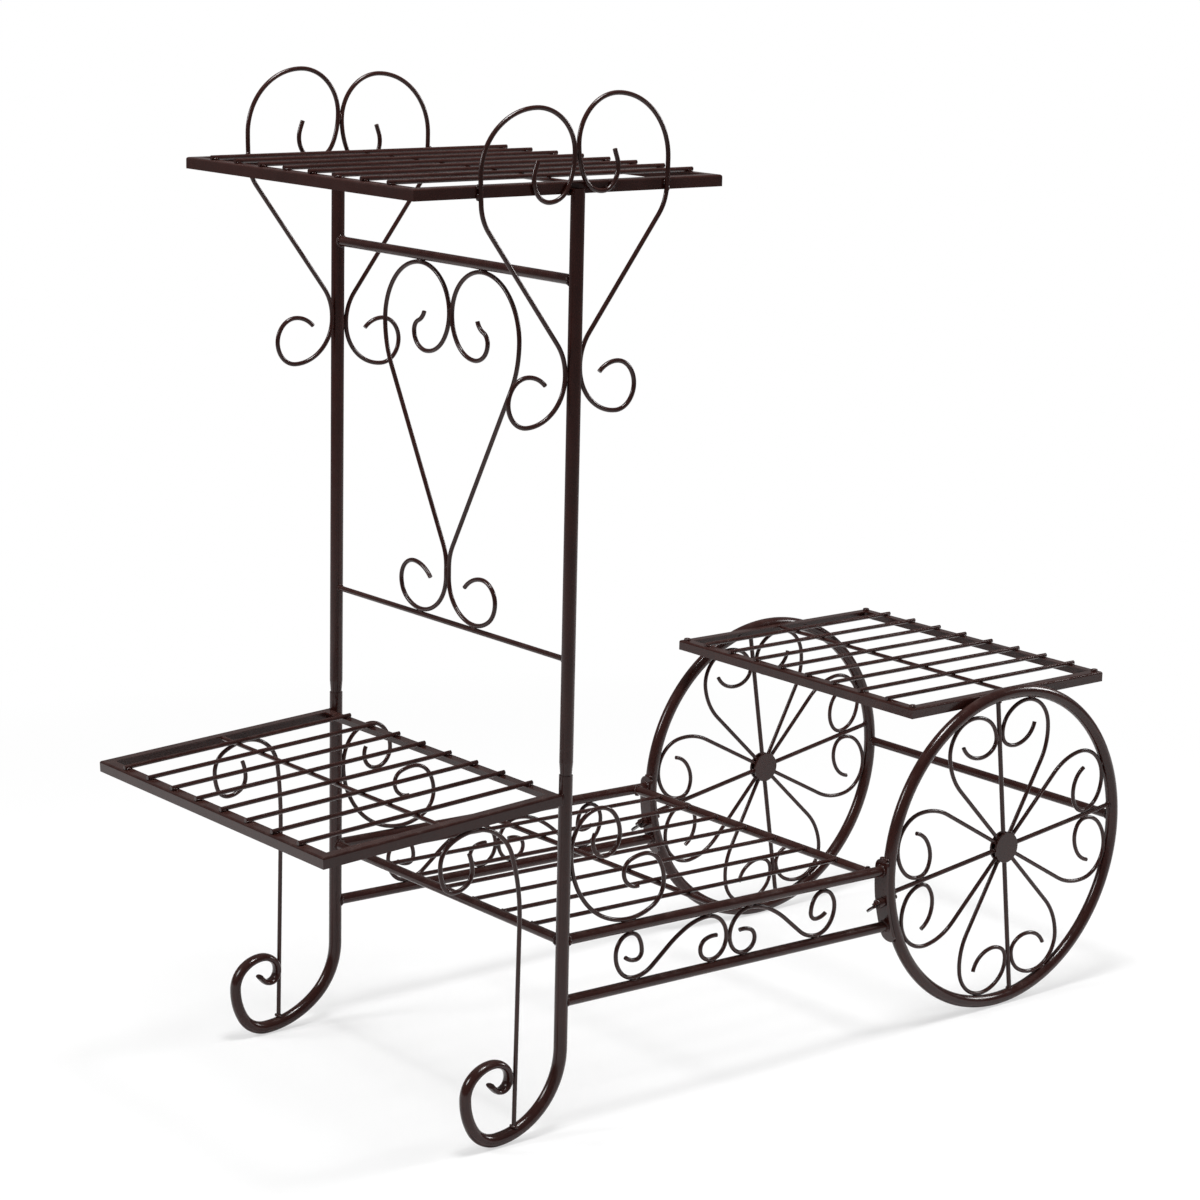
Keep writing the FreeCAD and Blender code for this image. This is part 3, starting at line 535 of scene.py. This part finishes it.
# ---- stage ---------------------------------------------------------------------------------------
def floor_material(settings):
    """Pale floor that shows the shadow near the stand and turns plain white further off."""
    g = Graph("studio_floor")
    place = g.add("ShaderNodeTexCoord").outputs["Object"]
    distance = g.add("ShaderNodeVectorMath", {0: place}, operation="LENGTH").outputs["Value"]
    far = g.ramp(g.maths("MULTIPLY", distance, 0.5), [(0.25, grey(0.58)), (0.70, grey(1.0))])
    seen = g.add("ShaderNodeLightPath").outputs["Is Camera Ray"]
    white = g.add("ShaderNodeEmission", {"Color": grey(1.0), "Strength": 1.0})
    matt = g.add("ShaderNodeBsdfDiffuse", {"Color": colour(settings.floor)})
    mixed = g.add("ShaderNodeMixShader", {
        0: g.maths("MULTIPLY", far, seen), 1: matt.outputs[0], 2: white.outputs[0]})
    g.add("ShaderNodeOutputMaterial", {"Surface": mixed.outputs[0]})
    return g.material


def studio_world(fill):
    """White world: plain white to the camera, and an even light of the fill's strength."""
    world = bpy.data.worlds.new("studio")
    world.use_nodes = True
    tree = world.node_tree
    tree.nodes.clear()
    path = tree.nodes.new("ShaderNodeLightPath")
    seen = tree.nodes.new("ShaderNodeMath")
    seen.operation = "MAXIMUM"
    tree.links.new(path.outputs["Is Camera Ray"], seen.inputs[0])
    tree.links.new(path.outputs["Is Transmission Ray"], seen.inputs[1])
    strength = tree.nodes.new("ShaderNodeMapRange")
    strength.inputs["To Min"].default_value = fill
    strength.inputs["To Max"].default_value = 1.0
    tree.links.new(seen.outputs[0], strength.inputs["Value"])
    sky = tree.nodes.new("ShaderNodeBackground")
    sky.inputs["Color"].default_value = grey(1.0)
    tree.links.new(strength.outputs["Result"], sky.inputs["Strength"])
    out = tree.nodes.new("ShaderNodeOutputWorld")
    tree.links.new(sky.outputs[0], out.inputs["Surface"])
    return world


def add_softbox(name, place, target, power):
    """Square area light at a place, turned towards a target."""
    light = bpy.data.lights.new(name, "AREA")
    light.shape = "SQUARE"
    light.size = SOFTBOX_SIZE
    light.energy = power
    obj = bpy.data.objects.new(name, light)
    look = (Vector(target) - Vector(place)).to_track_quat("-Z", "Y")
    obj.matrix_world = Matrix.Translation(place) @ look.to_matrix().to_4x4()
    bpy.context.scene.collection.objects.link(obj)


def add_camera():
    """Camera fitted to the photo: angles in degrees, place in metres, lens and sensor in mm."""
    azimuth, pitch, roll = -39.3, 12.56, 1.31
    place = (-1.82995, -2.17086, 1.04555)
    lens, sensor = 93.297, 36.0
    a, e, t = math.radians(azimuth), math.radians(pitch), math.radians(roll)
    flat_right = Vector((math.cos(a), math.sin(a), 0.0))
    forward = Vector((-math.sin(a) * math.cos(e), math.cos(a) * math.cos(e), -math.sin(e)))
    flat_up = flat_right.cross(forward)
    right = flat_right * math.cos(t) + flat_up * math.sin(t)
    up = flat_up * math.cos(t) - flat_right * math.sin(t)
    data = bpy.data.cameras.new("photo_camera")
    data.sensor_width = sensor
    data.sensor_fit = "HORIZONTAL"
    data.lens = lens
    data.clip_end = 200.0
    camera = bpy.data.objects.new("photo_camera", data)
    camera.matrix_world = Matrix((
        (right.x, up.x, -forward.x, place[0]),
        (right.y, up.y, -forward.y, place[1]),
        (right.z, up.z, -forward.z, place[2]),
        (0.0, 0.0, 0.0, 1.0)))
    bpy.context.scene.collection.objects.link(camera)
    bpy.context.scene.camera = camera


class CART_OT_stage(bpy.types.Operator):
    """Add the floor, the soft studio light and the camera."""

    bl_idname = "cart.stage"
    bl_label = "Set the stage"

    def execute(self, context):
        scene = context.scene
        s = scene.cart_stage
        mesh = bpy.data.meshes.new("studio_floor")
        corners = [(x * FLOOR_HALF, y * FLOOR_HALF, 0)
                   for x, y in ((-1, -1), (1, -1), (1, 1), (-1, 1))]
        mesh.from_pydata(corners, [], [(0, 1, 2, 3)])
        mesh.materials.append(floor_material(s))
        floor = bpy.data.objects.new("studio_floor", mesh)
        scene.collection.objects.link(floor)

        scene.world = studio_world(s.sky)
        for name, place, target, power in SOFTBOXES:
            add_softbox(name, place, target, getattr(s, power))
        add_camera()
        scene.view_settings.view_transform = "Standard"
        return {"FINISHED"}


class CART_PT_panel(bpy.types.Panel):
    """Settings and steps of the flower cart stand."""

    bl_idname = "CART_PT_panel"
    bl_label = "Flower Cart Stand"
    bl_space_type = "VIEW_3D"
    bl_region_type = "UI"
    bl_category = "Flower Cart"

    def draw(self, context):
        for group in (context.scene.cart_coat, context.scene.cart_weld, context.scene.cart_stage):
            box = self.layout.box()
            for key in group.bl_rna.properties.keys():
                if key not in ("rna_type", "name"):
                    box.prop(group, key)
        for step in STEPS:
            self.layout.operator(step.bl_idname)


GROUPS = (
    ("cart_coat", CartCoatSettings),
    ("cart_weld", CartWeldSettings),
    ("cart_stage", CartStageSettings),
)
STEPS = (CART_OT_coat, CART_OT_rack_welds, CART_OT_cart_welds, CART_OT_wheel_welds, CART_OT_stage)


def register():
    """Register the settings, the steps and the panel."""
    for name, group in GROUPS:
        bpy.utils.register_class(group)
        setattr(bpy.types.Scene, name, bpy.props.PointerProperty(type=group))
    for cls in (*STEPS, CART_PT_panel):
        bpy.utils.register_class(cls)


def unregister():
    """Take them away in reverse order."""
    for cls in (CART_PT_panel, *reversed(STEPS)):
        bpy.utils.unregister_class(cls)
    for name, group in reversed(GROUPS):
        delattr(bpy.types.Scene, name)
        bpy.utils.unregister_class(group)


def main():
    """Build the looks in order."""
    register()
    bpy.ops.cart.coat()
    bpy.ops.cart.rack_welds()
    bpy.ops.cart.cart_welds()
    bpy.ops.cart.wheel_welds()
    bpy.ops.cart.stage()


if __name__ == "__main__":
    main()
